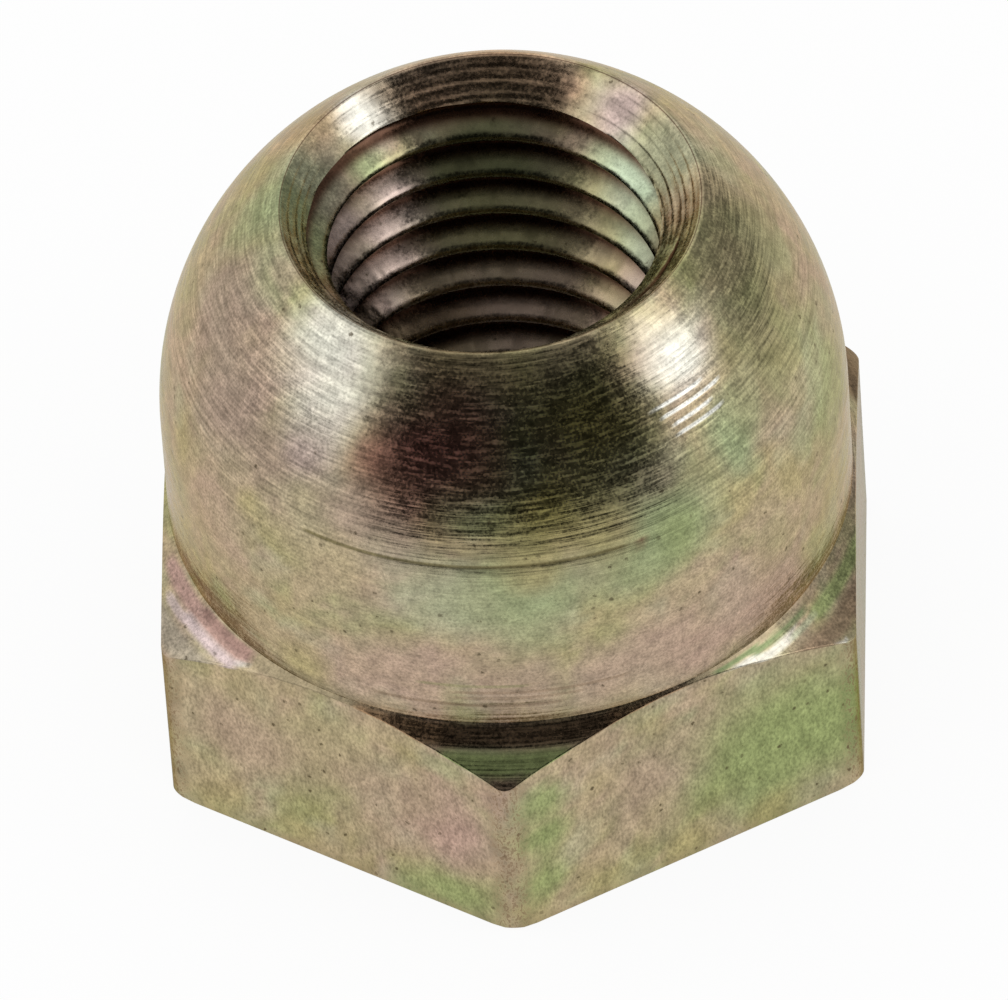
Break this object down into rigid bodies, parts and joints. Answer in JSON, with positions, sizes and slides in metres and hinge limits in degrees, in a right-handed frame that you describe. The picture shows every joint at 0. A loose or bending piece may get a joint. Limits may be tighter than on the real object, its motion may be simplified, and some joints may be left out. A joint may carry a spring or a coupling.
{
  "type": "adjusting nut",
  "caption": "Hexagon adjusting nut with a round collar and a spherical seat, threaded right through, turned in one piece from bar and zinc plated.",
  "frame": {"origin": "centre of the hexagon's base face, on the thread's axis", "axes": "+Z along the thread, from the base to the spherical seat's mouth; a hexagon corner points along -Y and +Y, flats face +X and -X"},
  "size_m": [0.0142, 0.0164, 0.013],
  "materials": {
    "zinc_passivated_steel": "satin"
  },
  "bodies": {
    "root": {"adjusting_nut": "zinc_passivated_steel"}
  },
  "joints": []
}
